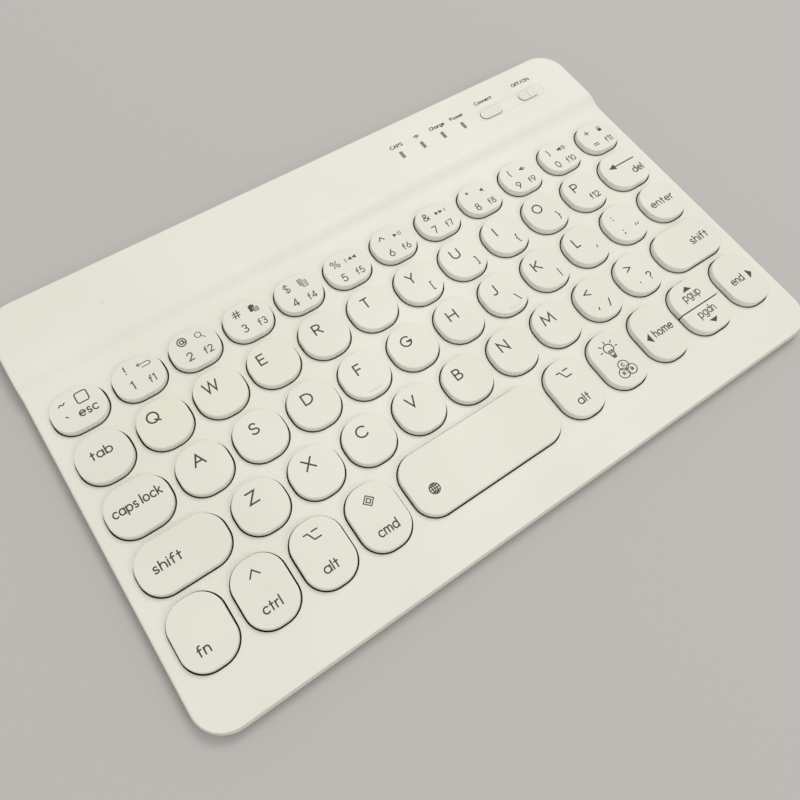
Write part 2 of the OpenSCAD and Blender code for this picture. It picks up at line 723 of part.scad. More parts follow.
module rubber_domes() {
    top = key_under - seat_gap - lift_z;
    neck = top - 0.9;
    color("#dfe3e6") on_body() for (d = DOMES) translate([d[0], d[1], lift_z]) rotate_extrude() polygon([
        [dome_r, 0], [dome_r, 0.25], [dome_r - 0.15, 0.4], [dome_head_r, neck], [dome_head_r, top],
        [0, top], [0, neck], [dome_head_r - dome_wall, neck], [dome_r - 0.15 - dome_wall, 0.3],
        [dome_r - 0.15 - dome_wall, 0]
    ]);
}

module sheet_outline() {
    translate([block_w / 2 - sheet_w / 2, sheet_y0]) square([sheet_w, sheet_y1 - sheet_y0]);
}

module stake_holes() {
    for (s = STAKES) translate([s[0], s[1]]) circle(stake_r + stake_gap);
}

// Places of the two hooks of a lift, each [distance from the pivot, side]
HOOKS = [[spread(lift_reach, outer_angle), -1], [spread(inner_reach, inner_angle), 1]];

module at_hooks() {
    for (l = LIFTS, h = HOOKS) translate([l[0], l[1]]) rotate(l[2] ? 90 : 0)
        mirror([0, h[1] > 0 ? 0 : 1, 0]) translate([0, h[0] + hook_gap]) children();
}

module support_plate() {
    color("#c4c6c8") on_body() {
        translate([0, 0, plate_z]) linear_extrude(plate_t) difference() {
            sheet_outline();
            stake_holes();
            for (d = DOMES) translate([d[0], d[1]]) circle(0.7);
        }
        // Hooks pressed up out of the plate hold the lifts' lower bars
        translate([0, 0, sheet_z - TINY]) at_hooks() translate([-hook_w / 2, 0]) rotate([90, 0, 90])
            linear_extrude(hook_w) polygon([
                [0, 0], [hook_t, 0], [hook_t, hook_top - sheet_z], [-hook_lip, hook_top - sheet_z],
                [-hook_lip, hook_top - sheet_z - hook_t], [0, hook_top - sheet_z - hook_t]
            ]);
    }
}

// The tail bends up out of the sheet, over the board's edge and into its connector
module membrane() {
    rise_y = board_y0 - 2.1;
    tail_z = board_top + 0.35;
    color("#cfd8cf") on_body() {
        translate([0, 0, sheet_z]) linear_extrude(sheet_t) difference() {
            union() {
                sheet_outline();
                translate([tail_x, sheet_y1 - 1]) square([tail_w, rise_y - sheet_y1 + 1]);
            }
            stake_holes();
            at_hooks() translate([-hook_w / 2 - 0.2, -0.2]) square([hook_w + 0.4, hook_t + 0.4]);
        }
        translate([tail_x, 0]) rotate([90, 0, 90]) linear_extrude(tail_w) polygon([
            [rise_y - TINY, sheet_z], [rise_y + sheet_t, sheet_z], [board_y0 - 0.3, tail_z],
            [board_y0 + 1.2, tail_z], [board_y0 + 1.2, tail_z + sheet_t],
            [board_y0 - 0.3 - sheet_t, tail_z + sheet_t], [rise_y - TINY, sheet_z + sheet_t]
        ]);
    }
}

module light_guide() {
    color("#e6f0f4") on_body() translate([0, 0, floor_z]) linear_extrude(guide_t) sheet_outline();
}

// A pouch cell with its protection strip and two leads to the board
module battery() {
    // The leads start inside the strip and end at the board's battery connector
    lead_x = battery_x0 + battery_l + strip_l - 1;
    lead_z = floor_z + 0.8;
    color("#9aa0a6") on_body() {
        translate([battery_x0, battery_y0, floor_z]) {
            translate([battery_l / 2, battery_w / 2]) linear_extrude(battery_t)
                round_rect(battery_l, battery_w, 1);
            translate([battery_l - 1, 1.5]) cube([strip_l + 1, battery_w - 3, 1.6]);
        }
        for (s = [-1, 1]) translate([lead_x, battery_y0 + battery_w / 2 + s, lead_z]) rotate([0, 90, 0])
            cylinder(board_x0 + 1 - lead_x, 0.4, 0.4);
    }
}

// Printed board, its connectors, chips, lamps and switches, and the charging socket
module control_board() {
    tact_top = bar_under - 0.1 - flange_t - button_travel - 0.05;
    parts_y = board_y0 + board_w - 0.6;
    chip_x = tail_x + chip_gap;
    chip_w = 7;
    radio_x = chip_x + chip_w + 6;
    radio_w = 13;
    radio_d = 6;
    color("#3d6b4a") on_body() {
        translate([board_x0, board_y0, board_z]) linear_extrude(board_t) difference() {
            square([board_l, board_w]);
            for (x = board_post_x, y = board_post_y) translate([x, y]) circle(0.9);
            translate([block_w / 2 + usb_x - board_x0 - usb_w / 2 - 0.1, usb_face - usb_l - board_y0 - 0.1])
                square([usb_w + 0.2, board_w]);
        }
        // Connector of the membrane's tail, main chip, radio module and battery connector
        translate([tail_x - 1, board_y0 + 1.2, board_top]) cube([tail_w + 2, 3.2, 1.1]);
        translate([chip_x, parts_y - chip_w, board_top]) cube([chip_w, chip_w, 0.9]);
        translate([radio_x, parts_y - radio_d, board_top]) cube([radio_w, radio_d, 1.5]);
        translate([board_x0 + 1, battery_y0 + battery_w / 2 - 2.8, floor_z + 0.1])
            cube([5, 5.6, board_lift - 0.1]);
        // Lamps under the status windows
        for (i = [0 : 3])
            translate([block_w / 2 + window_x + i * window_pitch - 0.8, controls_y - 0.4, board_top])
                cube([1.6, 0.8, 0.6]);
        // Push switch under the connect button
        translate([connect_x, controls_y, board_top]) {
            translate([-2.1, -2.1, 0]) cube([4.2, 4.2, 0.7]);
            cylinder(tact_top - board_top, 1.1, 1.1);
        }
        // Slide switch with a slot for the slider's stem
        translate([slider_x + slider_travel / 2, controls_y, board_top]) difference() {
            translate([-4, -1.8, 0]) cube([8, 3.6, 1.4]);
            translate([-(1.6 + slider_travel) / 2, -0.8, 0.5]) cube([1.6 + slider_travel, 1.6, 2]);
        }
        translate([block_w / 2 + usb_x, 0, usb_z]) charging_socket();
    }
}

// Shell with an open mouth at the rear edge, closed at the back, with its contact tongue
module charging_socket() {
    shell_t = 0.3;
    translate([0, usb_face, 0]) rotate([90, 0, 0]) {
        difference() {
            linear_extrude(usb_l) stadium(usb_w, usb_h);
            translate([0, 0, -1]) linear_extrude(usb_l - 0.7) stadium(usb_w - 2 * shell_t, usb_h - 2 * shell_t);
        }
        translate([-3.3, -0.35, 0.7]) cube([6.6, 0.7, usb_l - 0.8]);
    }
}

module status_lenses() {
    color("#8f918f") on_body() for (i = [0 : 3])
        translate([block_w / 2 + window_x + i * window_pitch, controls_y]) {
            translate([0, 0, board_top + 0.9]) linear_extrude(bar_z - 0.1 - board_top - 0.9)
                square([window_w - 0.1, window_d - 0.1], center = true);
            translate([0, 0, bar_under - 0.55]) linear_extrude(0.5)
                square([window_w + 1, window_d + 0.8], center = true);
        }
}

// Button cap through the cover, on a flange that the cover holds in
module connect_button() {
    flange_z = bar_under - 0.1 - flange_t;
    color("#eceade") on_body() translate([connect_x, controls_y]) {
        translate([0, 0, flange_z]) linear_extrude(recess_z + button_stand - flange_z)
            stadium(button_l, control_w);
        translate([0, 0, flange_z]) linear_extrude(flange_t)
            stadium(button_l + 2 * flange_out, control_w + 2 * flange_out);
    }
}

// Slider knob with its ridge, a stem through the slot and a foot under the cover
module power_slider() {
    knob_z = recess_z + 0.05;
    foot_z = bar_under - 0.1 - flange_t;
    color("#eceade") on_body() translate([slider_x, controls_y]) {
        translate([0, 0, knob_z]) linear_extrude(slider_stand - 0.05) stadium(slider_l, control_w);
        translate([-0.2, -control_w / 2 + 0.4, knob_z]) cube([0.4, control_w - 0.8, slider_stand + 0.1]);
        translate([-1.5, -0.9, foot_z]) cube([3, 1.8, knob_z - foot_z + TINY]);
        translate([-2.6, -1.5, foot_z]) cube([5.2, 3, flange_t]);
        translate([-0.6, -0.6, board_top + 0.65]) cube([1.2, 1.2, foot_z - board_top - 0.65 + TINY]);
    }
}

top_cover();
bottom_cover();
number_row_keys();
for (c = LONE_CELLS) lone_key(c[0]);
key_page_up();
key_page_down();
connect_button();
power_slider();
status_lenses();
scissor_lifts();
rubber_domes();
membrane();
support_plate();
light_guide();
control_board();
battery();
rubber_feet();
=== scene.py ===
"""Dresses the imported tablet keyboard: materials, printed legends, lamps and the camera."""

import json
import math

import bmesh
import bpy
from mathutils import Euler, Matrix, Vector


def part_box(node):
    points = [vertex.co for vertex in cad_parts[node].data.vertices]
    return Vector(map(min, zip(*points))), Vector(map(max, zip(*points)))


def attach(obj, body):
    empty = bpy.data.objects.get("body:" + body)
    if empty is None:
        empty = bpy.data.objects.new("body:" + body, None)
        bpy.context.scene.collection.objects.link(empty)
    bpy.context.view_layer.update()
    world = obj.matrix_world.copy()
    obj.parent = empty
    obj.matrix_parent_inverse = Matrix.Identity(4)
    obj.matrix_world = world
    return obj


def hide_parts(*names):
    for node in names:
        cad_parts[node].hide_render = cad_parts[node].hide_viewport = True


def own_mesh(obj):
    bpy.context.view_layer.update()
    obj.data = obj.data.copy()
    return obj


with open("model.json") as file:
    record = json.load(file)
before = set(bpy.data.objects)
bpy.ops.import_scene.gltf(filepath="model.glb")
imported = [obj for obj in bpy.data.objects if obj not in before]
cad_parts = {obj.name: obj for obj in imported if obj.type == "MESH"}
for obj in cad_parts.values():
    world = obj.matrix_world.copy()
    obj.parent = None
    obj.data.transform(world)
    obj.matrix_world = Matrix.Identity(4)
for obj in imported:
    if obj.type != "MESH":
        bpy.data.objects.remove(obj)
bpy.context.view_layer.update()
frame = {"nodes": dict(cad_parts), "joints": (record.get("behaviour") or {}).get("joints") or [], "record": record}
nodes = frame["nodes"]
MM = 0.001

# ---------------------------------------------------------------- printing, in millimetres
SHEET_X = -115.4  # where x of the legend sheet starts, in the row frame
SHEET_Y = 21.78  # where y of the legend sheet starts
SHEET_SCALE = 1.0026  # the legends were measured on a sheet this much smaller
INK = 0.02  # thickness of a printed stroke
INK_STEP = 0.0015  # crossing strokes differ by this much in height, so that no faces coincide
LETTER = 4.1  # height of a key's letter
WORD = 3.35  # height of the tall letters of a word
DIGIT = 3.2  # height of the digits and of the signs above them
SMALL = 2.8  # height of the f1 to f12 legends
LABEL = 1.75  # height of the words on the bar
LETTER_STROKE = 0.53
WORD_STROKE = 0.44
SMALL_STROKE = 0.39
PICTURE_STROKE = 0.34
LABEL_STROKE = 0.33
MEDIA_STROKE = 0.26  # the small pictures over f1 to f11
POINT_STROKE = 0.46  # points, commas and angle signs
ARROW_STROKE = 0.5
THIN_SIGNS = {"*": 0.28, "$": 0.31, "%": 0.32, "#": 0.34}
SECOND_SQUEEZE = 0.88  # widths of the narrower legends, as shares of the plain letters' widths
SIGN_SQUEEZE = 0.9
FUNCTION_SQUEEZE = 0.84

# ---------------------------------------------------------------- places, in metres
DECK_TOP = 5.6 * MM  # the upper face of the cover round the keys
KEY_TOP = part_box("key_space")[1].z
BAR_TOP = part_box("top_cover")[1].z
SIDE_LIGHT_TOP = KEY_TOP - 0.4 * MM  # below this height a key's sides are painted lighter and cooler than its top: painted light
BUTTON_PAINTED_SHADE_TOP = BAR_TOP - 0.1 * MM  # below this height the button and the slider are painted darker: painted shade in the gap round them
SOCKET_L = 7.3 * MM  # the charging socket's shell
SOCKET_W = 8.94 * MM
TONGUE_T = 0.6 * MM  # the dark of its tongue reaches this far up and down from its middle
TONGUE_W = 3.6 * MM  # and this far to each side
FLOOR_HALF = 12.0
LAMP_SIZE = 0.9  # both lamps' width


# ---------------------------------------------------------------- materials
class Graph:
    """A short way to build a material's nodes."""

    def __init__(self, name):
        self.material = bpy.data.materials.new(name)
        self.material.use_nodes = True
        self.tree = self.material.node_tree
        self.shader = self.tree.nodes["Principled BSDF"]
        self.position = self.add("ShaderNodeTexCoord").outputs["Object"]

    def add(self, kind, **values):
        node = self.tree.nodes.new(kind)
        for key, value in values.items():
            if hasattr(node, key):
                setattr(node, key, value)
            else:
                node.inputs[key.replace("_", " ")].default_value = value
        return node

    def link(self, source, target):
        self.tree.links.new(source, target)

    def noise(self, scale, detail=3.0, roughness=0.5):
        node = self.add("ShaderNodeTexNoise", Scale=scale, Detail=detail, Roughness=roughness)
        self.link(self.position, node.inputs["Vector"])
        return node.outputs["Fac"]

    def axes(self):
        """The place on the part, one output for each axis."""
        node = self.add("ShaderNodeSeparateXYZ")
        self.link(self.position, node.inputs[0])
        return node.outputs

    def maths(self, kind, first, second):
        node = self.add("ShaderNodeMath", operation=kind)
        for socket, value in zip(node.inputs, (first, second)):
            if isinstance(value, float):
                socket.default_value = value
            else:
                self.link(value, socket)
        return node.outputs[0]

    def steps(self, value, low, high):
        """Spreads value from low..high to 0..1."""
        node = self.add("ShaderNodeMapRange")
        self.link(value, node.inputs["Value"])
        node.inputs["From Min"].default_value = low
        node.inputs["From Max"].default_value = high
        return node.outputs["Result"]

    def mix(self, amount, first, second):
        node = self.add("ShaderNodeMix", data_type="RGBA")
        self.link(amount, node.inputs[0])
        for socket, colour in ((node.inputs[6], first), (node.inputs[7], second)):
            if isinstance(colour, tuple):
                socket.default_value = (*colour, 1)
            else:
                self.link(colour, socket)
        return node.outputs[2]

    def bump(self, height, strength, distance):
        node = self.add("ShaderNodeBump")
        node.inputs["Strength"].default_value = strength
        node.inputs["Distance"].default_value = distance
        self.link(height, node.inputs["Height"])
        self.link(node.outputs["Normal"], self.shader.inputs["Normal"])

    def finish(self, colour, roughness, metallic=0.0, specular=0.5):
        if isinstance(colour, tuple):
            self.shader.inputs["Base Color"].default_value = (*colour, 1)
        else:
            self.link(colour, self.shader.inputs["Base Color"])
        if isinstance(roughness, float):
            self.shader.inputs["Roughness"].default_value = roughness
        else:
            self.link(roughness, self.shader.inputs["Roughness"])
        self.shader.inputs["Metallic"].default_value = metallic
        self.shader.inputs["Specular IOR Level"].default_value = specular
        return self.material


def linear(red, green, blue):
    """A colour given from 0 to 255, as light."""
    return tuple(
        c / 12.92 if c <= 0.04045 else ((c + 0.055) / 1.055) ** 2.4
        for c in (red / 255, green / 255, blue / 255)
    )


# Painted shade: the colour laid on key skirts below the deck, and on the button and slider low in their gaps.
GAP_PAINTED_SHADE = linear(116, 109, 100)
SPECK_DARK = linear(150, 146, 132)
SOCKET_STEEL = linear(172, 174, 176)
TONGUE_DARK = linear(46, 46, 48)
FLOOR_PALE = linear(190, 188, 184)
SIDE_PAINTED_LIGHT = (1.01, 1.03, 1.1)  # how much lighter and cooler a key's sides are painted than its top: painted light


def moulded(name, colour, shade, roughness=0.46, grain=900.0, specks=False, painted_shade_below=0.0, painted_light_below=0.0):
    """Moulded plastic: a slow change of tone and a fine spark-eroded grain.

    With specks, there are a few grey ones in patches. Given a gap height, it darkens below it, in the gap round a
    key or a button: painted shade.
    Given a side height, it turns lighter and cooler below it: painted light on a key's sides.
    """
    g = Graph(name)
    tone = g.mix(g.steps(g.noise(24.0, 4.0), 0.35, 0.65), colour, shade)
    height = g.axes()["Z"]
    # Painted light: a key's sides below the given height turn lighter and cooler than its top.
    if painted_light_below:
        side = tuple(c * cooler for c, cooler in zip(colour, SIDE_PAINTED_LIGHT))
        tone = g.mix(g.steps(height, painted_light_below - 0.35 * MM, painted_light_below), side, tone)
    # Painted shade: darker below the given height, in the gap round a key or a button.
    if painted_shade_below:
        tone = g.mix(g.steps(height, painted_shade_below - 0.04 * MM, painted_shade_below + 0.06 * MM), GAP_PAINTED_SHADE, tone)
    if specks:
        cells = g.add("ShaderNodeTexVoronoi", Scale=260.0)
        g.link(g.position, cells.inputs["Vector"])
        near = g.steps(cells.outputs["Distance"], 0.06, 0.04)
        patch = g.steps(g.noise(31.0, 2.0), 0.66, 0.72)
        tone = g.mix(g.maths("MULTIPLY", near, patch), tone, SPECK_DARK)
    g.bump(g.noise(grain * 6, 2.0, 0.6), 0.25, 0.00002)
    wear = g.add("ShaderNodeMapRange")
    g.link(g.noise(60.0, 5.0), wear.inputs["Value"])
    wear.inputs["To Min"].default_value = roughness - 0.06
    wear.inputs["To Max"].default_value = roughness + 0.08
    return g.finish(tone, wear.outputs["Result"])


def plain(name, colour, shade, roughness, scale):
    """Ink, rubber and film: a change of tone and a grain of one scale."""
    g = Graph(name)
    g.bump(g.noise(scale * 4, 2.0), 0.2, 0.00001)
    return g.finish(g.mix(g.noise(scale), colour, shade), roughness)


def brushed(name, colour, shade):
    """Rolled metal: streaks along X."""
    g = Graph(name)
    mapping = g.add("ShaderNodeMapping")
    mapping.inputs["Scale"].default_value = (60, 2600, 2600)
    g.link(g.position, mapping.inputs["Vector"])
    streak = g.add("ShaderNodeTexNoise", Scale=1.0, Detail=3.0)
    g.link(mapping.outputs["Vector"], streak.inputs["Vector"])
    g.bump(streak.outputs["Fac"], 0.15, 0.00001)
    return g.finish(g.mix(streak.outputs["Fac"], colour, shade), 0.34, 1.0)


def board(name, colour, shade):
    """The circuit board's green, and by their place the socket's steel shell and dark tongue."""
    g = Graph(name)
    along = g.axes()
    socket = [m["pos_m"] for m in frame["record"]["mounts"] if m["name"] == "charging_socket"][0]

    def near(axis, centre, half):
        off = g.maths("SUBTRACT", along[axis], centre)
        return g.maths("LESS_THAN", g.maths("ABSOLUTE", off, 0.0), half)

    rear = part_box("control_board")[1].y - SOCKET_L / 2
    in_length = near("Y", rear, SOCKET_L / 2 + 0.05 * MM)
    in_width = near("X", socket[0], SOCKET_W / 2 + 0.05 * MM)
    shell = g.maths("MULTIPLY", in_length, in_width)
    level = near("Z", socket[2], TONGUE_T)
    tongue = g.maths("MULTIPLY", level, near("X", socket[0], TONGUE_W))
    tone = g.mix(shell, g.mix(g.noise(300.0), colour, shade), SOCKET_STEEL)
    tone = g.mix(g.maths("MULTIPLY", shell, tongue), tone, TONGUE_DARK)
    g.bump(g.noise(1200.0, 2.0), 0.2, 0.00001)
    made = g.finish(tone, 0.4)
    steel = g.maths("MULTIPLY", shell, g.maths("SUBTRACT", 1.0, tongue))
    g.link(steel, g.shader.inputs["Metallic"])
    return made


def cap(name, colour, shade):
    """A key cap's plastic, with painted shade on its skirt below the deck and painted light on its sides."""
    return moulded(name, colour, shade, 0.48, 1100.0, painted_shade_below=DECK_TOP, painted_light_below=SIDE_LIGHT_TOP)


def control(name, colour, shade):
    """The plastic of the button and the slider, painted darker low down as shade in the gap round them."""
    return moulded(name, colour, shade, 0.5, painted_shade_below=BUTTON_PAINTED_SHADE_TOP)


LIFT = moulded("lift_plastic", linear(225, 225, 220), linear(214, 214, 208), 0.4)
DOME = plain("dome_rubber", linear(196, 202, 206), linear(184, 190, 196), 0.45, 500.0)
INK_GREY = plain("legend_ink", linear(56, 55, 52), linear(68, 66, 62), 0.6, 2600.0)
SLOTS = {
    "cover_plastic": moulded(
        "cover_plastic", linear(233, 231, 220), linear(229, 227, 215), specks=True
    ),
    # The bottom shell: the cover's cream darkened, as painted shade.
    "shell_plastic": moulded(
        "shell_plastic", linear(180, 177, 167), linear(177, 174, 164), 0.55
    ),
    "key_plastic": cap("key_plastic", linear(230, 228, 216), linear(226, 224, 211)),
    "key_plastic_cream": cap("key_plastic_cream", linear(230, 228, 213), linear(227, 225, 208)),
    "control_plastic": control("control_plastic", linear(228, 226, 216), linear(224, 222, 211)),
    "lens": plain("lens_smoke", linear(128, 127, 120), linear(114, 113, 107), 0.5, 900.0),
    "lift_plastic": LIFT,
    "dome_rubber": DOME,
    # The film is dark so that the gaps round the keys read dark: painted shade in the gaps.
    "membrane_film": plain("membrane_film", linear(58, 62, 60), linear(48, 52, 50), 0.5, 120.0),
    "plate_steel": brushed("plate_steel", linear(176, 178, 180), linear(158, 160, 163)),
    "guide_sheet": plain("guide_sheet", linear(226, 232, 236), linear(216, 224, 230), 0.15, 60.0),
    "circuit_board": board("circuit_board", linear(38, 98, 62), linear(28, 82, 50)),
    "battery_foil": brushed("battery_foil", linear(188, 190, 194), linear(170, 172, 177)),
    "foot_rubber": plain("foot_rubber", linear(62, 61, 60), linear(52, 51, 50), 0.8, 800.0),
}
slot_of = {s["node"]: s["material_slot"] for s in frame["record"]["subparts"]}
for name, node in nodes.items():
    node.data.materials.clear()
    node.data.materials.append(SLOTS[slot_of[name]])


# ---------------------------------------------------------------- stroke letters
# A glyph is its strokes, parted by ";", on a grid whose tall letters are 1 high. A stroke's points are
# parted by "|": "x y" is a point and "@cx cy rx ry a b" an arc from angle a to b, in degrees. A stroke
# that ends in * closes, and one that starts with # is filled.
GLYPHS = {
    "A": "0 0|.42 1|.84 0;.14 .34|.7 .34",
    "B": "0 0|0 1|@.27 .76 .25 .24 90 -90|0 .52;.2 .52|@.3 .26 .3 .26 90 -90|0 0",
    "C": "@.46 .5 .46 .5 42 318",
    "D": "0 0|0 1|@.28 .5 .48 .5 90 -90*",
    "E": ".52 1|0 1|0 0|.54 0;0 .52|.46 .52",
    "F": ".5 1|0 1|0 0;0 .5|.44 .5",
    "G": "@.45 .5 .44 .5 42 345|.89 .46|.5 .46",
    "H": "0 0|0 1;.76 0|.76 1;0 .52|.76 .52",
    "I": "0 0|0 1",
    "J": ".47 1|.47 .26|@.22 .26 .25 .26 0 -135",
    "K": "0 0|0 1;.66 1|.02 .42;.22 .6|.7 0",
    "L": "0 1|0 0|.42 0",
    "M": "0 0|.14 1|.55 .2|.96 1|1.1 0",
    "N": "0 0|0 1|.76 0|.76 1",
    "O": "@.44 .5 .44 .5 90 450*",
    "P": "0 0|0 1|@.3 .73 .29 .27 90 -90|0 .46",
    "Q": "@.43 .5 .43 .5 90 450*;.52 .26|.88 -.03",
    "R": "0 0|0 1|@.3 .74 .28 .26 90 -90|0 .48;.28 .48|.62 0",
    "S": "@.3 .75 .25 .25 25 270|@.3 .25 .29 .25 90 -155",
    "T": "0 1|.6 1;.3 1|.3 0",
    "U": "0 1|@.37 .36 .37 .36 180 360|.74 1",
    "V": "0 1|.37 0|.74 1",
    "W": "0 1|.28 0|.56 1|.84 0|1.12 1",
    "X": "0 1|.8 0;.78 1|0 0",
    "Y": "0 1|.33 .46|.66 1;.33 .46|.33 0",
    "Z": ".02 1|.72 1|0 0|.74 0",
    "a": "@.32 .33 .32 .33 0 360*;.64 .66|.64 0",
    "b": "@.32 .33 .32 .33 0 360*;0 1|0 0",
    "c": "@.32 .33 .32 .33 48 312",
    "d": "@.32 .33 .32 .33 0 360*;.64 1|.64 0",
    "e": ".02 .34|.63 .34|@.32 .33 .32 .33 12 312",
    "f": "@.32 .83 .18 .17 70 180|.14 0;0 .63|.36 .63",
    "g": "@.32 .33 .32 .33 0 360*;.64 .66|@.34 -.04 .3 .24 0 -150",
    "h": "0 1|0 0;0 .34|@.26 .36 .26 .3 180 0|.52 0",
    "i": "0 .66|0 0;0 .88|0 .92",
    "k": "0 1|0 0;.46 .66|.02 .26;.16 .38|.5 0",
    "l": "0 1|0 0",
    "m": "0 .66|0 0;0 .4|@.22 .42 .22 .24 180 0|.44 0;.44 .4|@.66 .42 .22 .24 180 0|.88 0",
    "n": "0 .66|0 0;0 .34|@.26 .38 .26 .28 180 0|.52 0",
    "o": "@.32 .33 .32 .33 90 450*",
    "p": "@.32 .33 .32 .33 0 360*;0 .66|0 -.3",
    "r": "0 .66|0 0;0 .34|@.26 .38 .26 .28 180 75",
    "s": "@.21 .49 .17 .17 35 270|@.21 .16 .2 .16 90 -150",
    "t": ".16 .92|.16 0;0 .63|.36 .63",
    "u": "0 .66|@.27 .28 .27 .28 180 360|.54 .66;.54 .3|.54 0",
    "w": "0 .66|.22 0|.43 .66|.64 0|.86 .66",
    "0": "@.29 .5 .29 .5 90 450*",
    "1": "0 .84|.2 1|.2 0",
    "2": "@.29 .71 .27 .29 165 -35|0 0|.58 0",
    "3": "@.27 .75 .24 .25 150 -90|@.27 .26 .28 .26 90 -150",
    "4": ".46 0|.46 1|0 .27|.64 .27",
    "5": ".52 1|.13 1|.07 .55|@.27 .32 .29 .32 128 -150",
    "6": "@.3 .31 .29 .31 0 360*;.44 1|.05 .42",
    "7": "0 1|.58 1|.18 0",
    "8": "@.29 .76 .22 .24 0 360*;@.29 .27 .28 .27 0 360*",
    "9": "@.3 .69 .29 .31 0 360*;.55 .56|.16 0",
    "!": "0 1|0 .34;0 .06|0 .02",
    "@": "@.5 .5 .5 .52 -55 300;@.48 .5 .2 .24 0 360*;.7 .72|@.84 .46 .14 .16 180 360|1 .5",
    "#": ".26 0|.36 1;.62 0|.72 1;0 .33|.9 .33;.06 .67|.96 .67",
    "$": "@.32 .76 .27 .26 25 270|@.32 .25 .31 .25 90 -155;.32 1.14|.32 -.1",
    "%": "@.18 .78 .18 .22 0 360*;@.78 .22 .18 .22 0 360*;.78 .98|.16 .02",
    "^": "0 .5|.34 1|.68 .5",
    "&": ".78 0|.2 .62|@.38 .78 .21 .22 210 -35|@.3 .24 .29 .25 120 330|.78 .46",
    "*": "0 .7|.36 .9;0 .9|.36 .7;.18 1|.18 .6",
    "(": "@1.7 .5 1.7 1.5 160 200",
    ")": "@-1.6 .5 1.7 1.5 20 -20",
    "+": "0 .5|.7 .5;.35 .85|.35 .15",
    "=": "0 .34|.72 .34;0 .64|.72 .64",
    "~": "0 .4|.16 .56|.4 .44|.56 .6",
    "`": "0 1|.14 .84",
    "'": ".12 1|0 .72",
    '"': ".1 1|0 .74;.4 1|.3 .74",
    ":": "0 .66|0 .6;0 .08|0 .02",
    ";": ".06 .66|.06 .6;.08 .08|-.04 -.14",
    ",": ".12 .1|0 -.2",
    ".": "0 .06|0 0",
    "<": ".62 .85|0 .5|.62 .15",
    ">": "0 .85|.62 .5|0 .15",
    "/": "0 0|.4 1",
    "\\": "0 1|.4 0",
    "|": "0 1.06|0 -.06",
    "[": ".16 1|0 1|0 0|.16 0",
    "]": "0 1|.16 1|.16 0|0 0",
    "{": ".26 1|@.22 .86 .1 .14 90 180|.12 .6|0 .5|.12 .4|@.22 .14 .1 .14 180 270|.26 0",
    "}": "0 1|@.04 .86 .1 .14 90 0|.14 .6|.26 .5|.14 .4|@.04 .14 .1 .14 0 -90|0 0",
    "?": "@.26 .74 .25 .26 160 -60|.26 .34|.26 .26;.26 .04|.26 0",
}
# Pictures, on a grid of their own size.
ICONS = {
    "window": ".2 0|@.8 .2 .2 .2 -90 0|@.8 .8 .2 .2 0 90|@.2 .8 .2 .2 90 180|@.2 .2 .2 .2 180 270*",
    "back": "0 .62|@.82 .4 .18 .22 90 -90|.3 .18;.2 .8|0 .62|.2 .44",
    "magnifier": "@.38 .62 .34 .34 0 360*;.62 .38|1 0",
    "paste": (
        "#0 .12|0 .9|.2 .9|.2 1|.5 1|.5 .9|.7 .9|.7 .58|.42 .58|.42 .12;"
        ".5 0|.5 .48|1 .48|1 0*;.62 .16|.88 .16;.62 .32|.88 .32"
    ),
    "copy": (
        "0 .3|0 1|.5 1;.16 .18|.16 .84|.62 .84;.34 0|.34 .68|.96 .68|.96 0*;"
        ".46 .44|.84 .44;.46 .24|.84 .24"
    ),
    "previous": "0 0|0 1;#.2 .5|.58 1|.58 0;#.62 .5|1 1|1 0",
    "play": "#0 0|0 1|.52 .5;.7 0|.7 1;.96 0|.96 1",
    "next": "#0 0|0 1|.38 .5;#.42 0|.42 1|.8 .5;1 0|1 1",
    "mute": "#0 .32|0 .68|.3 .68|.7 1|.7 0|.3 .32",
    "quieter": "#0 .32|0 .68|.24 .68|.56 1|.56 0|.24 .32;@.56 .5 .2 .26 50 -50",
    "louder": (
        "#0 .32|0 .68|.2 .68|.44 1|.44 0|.2 .32;"
        "@.4 .5 .22 .28 50 -50;@.4 .5 .4 .46 50 -50;@.4 .5 .58 .62 48 -48"
    ),
    "lock": "#0 0|0 .55|1 .55|1 0;.2 .55|@.5 .74 .3 .26 180 0|.8 .55",
    "caret": "0 0|.5 1|1 0",
    "option": "0 1|.28 1|.52 0|1 0;.58 1|1 1",
    "diamond": ".5 0|1 .5|.5 1|0 .5*;.5 .26|.74 .5|.5 .74|.26 .5*",
    "globe": (
        "@.5 .5 .5 .5 0 360*;@.5 .5 .22 .5 0 360*;0 .5|1 .5;.5 0|.5 1;"
        ".08 .76|.92 .76;.08 .24|.92 .24"
    ),
    "bulb": (
        "@.5 .56 .26 .27 -58 238|.4 .12|.6 .12*;.4 .05|.6 .05;.43 -.02|.57 -.02;"
        ".4 .42|.46 .3|.54 .3|.6 .42*;"
        ".5 .9|.5 1.04;.1 .52|0 .52;.9 .52|1 .52;.22 .8|.13 .9;.78 .8|.87 .9"
    ),
    "circles": (
        "@.5 .7 .27 .3 0 360*;@.28 .28 .27 .3 0 360*;@.72 .28 .27 .3 0 360*;"
        "@.5 .74 .07 .09 50 320;.2 .2|.2 .36|@.24 .31 .06 .05 90 -90|.3 .2;"
        ".7 .2|.7 .36|@.74 .32 .05 .04 90 -90|@.74 .24 .06 .04 90 -90*"
    ),
    "arrow": ".2 .5|1 .5;#0 .5|.25 1|.25 0",
    "left": "#0 .5|1 1|1 0",
    "right": "#0 0|0 1|1 .5",
    "up": "#0 0|.5 1|1 0",
    "down": "#0 1|1 1|.5 0",
    "waves": "@.5 .1 .62 .62 48 132;@.5 .1 .34 .34 48 132;.5 .12|.5 .2",
}
ARC_STEP = 15.0  # degrees
LETTER_GAP = 0.24  # between the letters of a word, on the glyphs' grid
SAME = 1e-3  # points closer than this are one
MITRE = 0.35  # a sharp bend reaches no further than half a stroke's width divided by this


